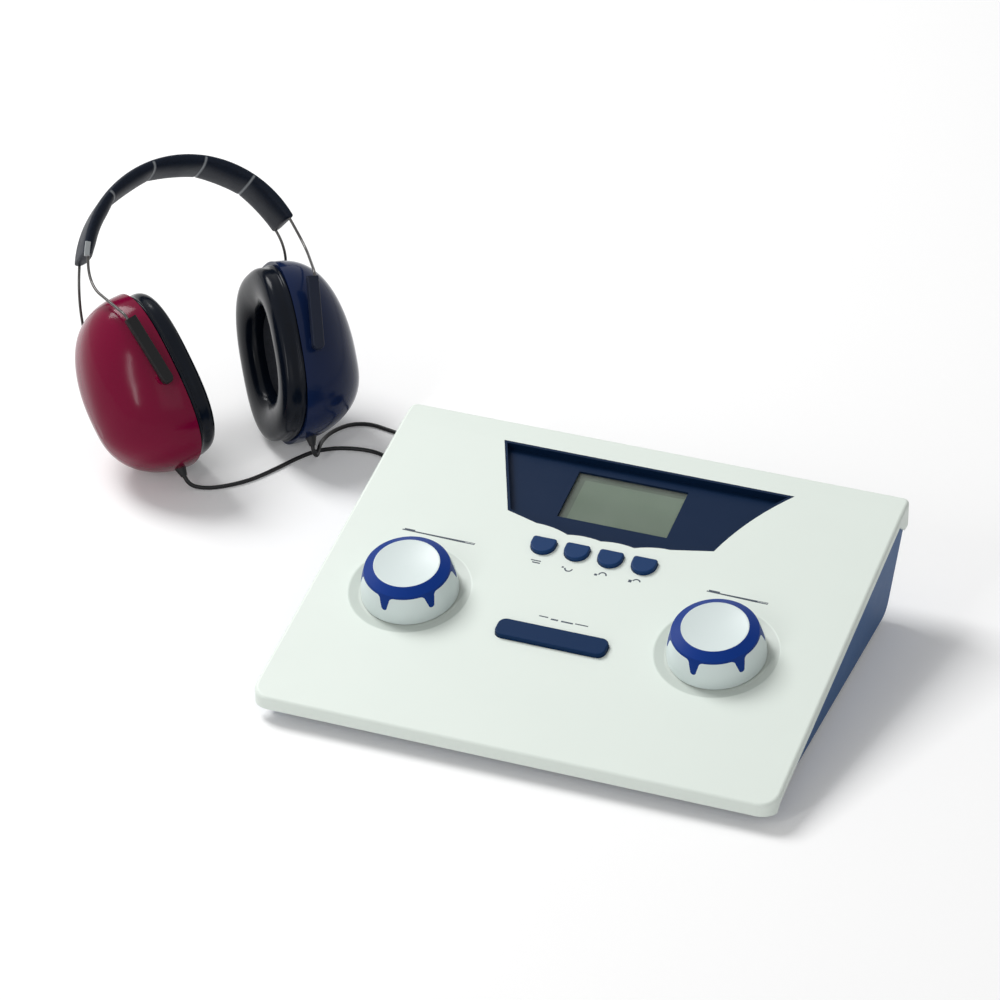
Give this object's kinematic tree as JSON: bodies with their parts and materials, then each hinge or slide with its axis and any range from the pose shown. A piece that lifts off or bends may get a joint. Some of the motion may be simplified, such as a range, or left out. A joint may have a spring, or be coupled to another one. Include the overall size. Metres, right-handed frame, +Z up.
{
  "type": "audiometer",
  "caption": "Wedge-shaped hearing-test console with turned knobs, push buttons, a tone bar and a display, with a wired earmuff headset on a sprung headband.",
  "frame": {"origin": "middle of the footprint of the console and headset together, on the table", "axes": "+X along the console's width towards its right-hand end, +Y from the console's front edge to its rear wall, +Z up"},
  "size_m": [0.501, 0.3357, 0.1535],
  "materials": {
    "panel_grey": "satin moulded plastic, pale grey",
    "case_blue": "satin moulded plastic, mid blue",
    "bezel_blue": "satin moulded plastic, dark blue",
    "window": "clear pane",
    "display_green": "unlit grey-green display",
    "board_green": "coated circuit board",
    "black_plastic": "black moulded plastic",
    "knob_white": "near-white moulded plastic",
    "knob_blue": "deep blue moulded plastic",
    "button_blue": "slate blue rubbery plastic",
    "bar_blue": "navy blue rubbery plastic",
    "steel": "plain steel",
    "spring_steel": "bright spring steel",
    "foot_rubber": "black rubber",
    "band_vinyl": "black padded vinyl",
    "cup_red": "glossy dark red plastic",
    "cup_blue": "glossy dark blue plastic",
    "cushion_vinyl": "glossy black vinyl",
    "foam": "open black foam",
    "cord_black": "black flexible cord cover"
  },
  "bodies": {
    "console": {"top_cover": "panel_grey", "lower_case": "case_blue", "feet": "foot_rubber", "case_screws": "steel", "board_screws": "steel", "control_board": "board_green", "main_board": "board_green", "key_switches": "black_plastic", "display_bezel": "bezel_blue", "display_window": "window", "lcd_module": "display_green", "left_encoder": "black_plastic", "right_encoder": "black_plastic", "red_jack": "black_plastic", "blue_jack": "black_plastic", "response_jack": "black_plastic", "power_inlet": "black_plastic", "power_switch_frame": "black_plastic", "red_plug": "black_plastic", "blue_plug": "black_plastic", "red_lead": "cord_black", "blue_lead": "cord_black", "red_lead_coil": "cord_black", "blue_lead_coil": "cord_black", "red_guides": "black_plastic", "blue_guides": "black_plastic", "red_pivot_pins": "steel", "blue_pivot_pins": "steel"},
    "left_knob": {"left_knob_shell": "knob_white", "left_knob_grip": "knob_blue", "left_knob_disc": "knob_white", "left_encoder_shaft": "steel"},
    "right_knob": {"right_knob_shell": "knob_white", "right_knob_grip": "knob_blue", "right_knob_disc": "knob_white", "right_encoder_shaft": "steel"},
    "key_1": {"button_1": "button_blue"},
    "key_2": {"button_2": "button_blue"},
    "key_3": {"button_3": "button_blue"},
    "key_4": {"button_4": "button_blue"},
    "tone_key": {"tone_bar": "bar_blue"},
    "power_key": {"power_switch_rocker": "black_plastic"},
    "headband": {"headband_wires": "spring_steel", "headband_pad": "band_vinyl"},
    "red_cup": {"red_cup_shell": "cup_red", "red_cup_plate": "black_plastic", "red_cushion": "cushion_vinyl", "red_receiver": "black_plastic", "red_ear_foam": "foam", "red_lead_relief": "cord_black"},
    "blue_cup": {"blue_cup_shell": "cup_blue", "blue_cup_plate": "black_plastic", "blue_cushion": "cushion_vinyl", "blue_receiver": "black_plastic", "blue_ear_foam": "foam", "blue_lead_relief": "cord_black"}
  },
  "joints": [
    {"name": "left_knob_turn", "type": "hinge", "parent": "console", "child": "left_knob", "pos_m": [0.0179, -0.07542, 0.03668], "axis": [0, -0.2334, 0.9724], "continuous": true},
    {"name": "right_knob_turn", "type": "hinge", "parent": "console", "child": "right_knob", "pos_m": [0.1881, -0.07542, 0.03668], "axis": [0, -0.2334, 0.9724], "continuous": true},
    {"name": "key_1_press", "type": "slide", "parent": "console", "child": "key_1", "axis": [0, 0.2334, -0.9724], "range_m": [0, 0.0012], "stiffness_N_per_m": 600},
    {"name": "key_2_press", "type": "slide", "parent": "console", "child": "key_2", "axis": [0, 0.2334, -0.9724], "range_m": [0, 0.0012], "stiffness_N_per_m": 600},
    {"name": "key_3_press", "type": "slide", "parent": "console", "child": "key_3", "axis": [0, 0.2334, -0.9724], "range_m": [0, 0.0012], "stiffness_N_per_m": 600},
    {"name": "key_4_press", "type": "slide", "parent": "console", "child": "key_4", "axis": [0, 0.2334, -0.9724], "range_m": [0, 0.0012], "stiffness_N_per_m": 600},
    {"name": "tone_key_press", "type": "slide", "parent": "console", "child": "tone_key", "axis": [0, 0.2334, -0.9724], "range_m": [0, 0.0015], "stiffness_N_per_m": 600},
    {"name": "power_key_rock", "type": "hinge", "parent": "console", "child": "power_key", "pos_m": [0.206, 0.04517, 0.02], "axis": [1, 0, 0], "range_deg": [0, 16]},
    {"name": "headband_slide", "type": "slide", "parent": "console", "child": "headband", "axis": [-0.504, 0.4219, 0.7537], "range_m": [0, 0.012]},
    {"name": "red_cup_tilt", "type": "hinge", "parent": "console", "child": "red_cup", "pos_m": [-0.19062, 0.04432, 0.04726], "axis": [0.5383, -0.529, 0.6561], "range_deg": [-8, 8], "deforming": ["red_lead"]},
    {"name": "blue_cup_tilt", "type": "hinge", "parent": "console", "child": "blue_cup", "pos_m": [-0.1272, 0.10959, 0.04785], "axis": [0.5383, -0.529, 0.6561], "range_deg": [-8, 8], "deforming": ["blue_lead"]}
  ]
}
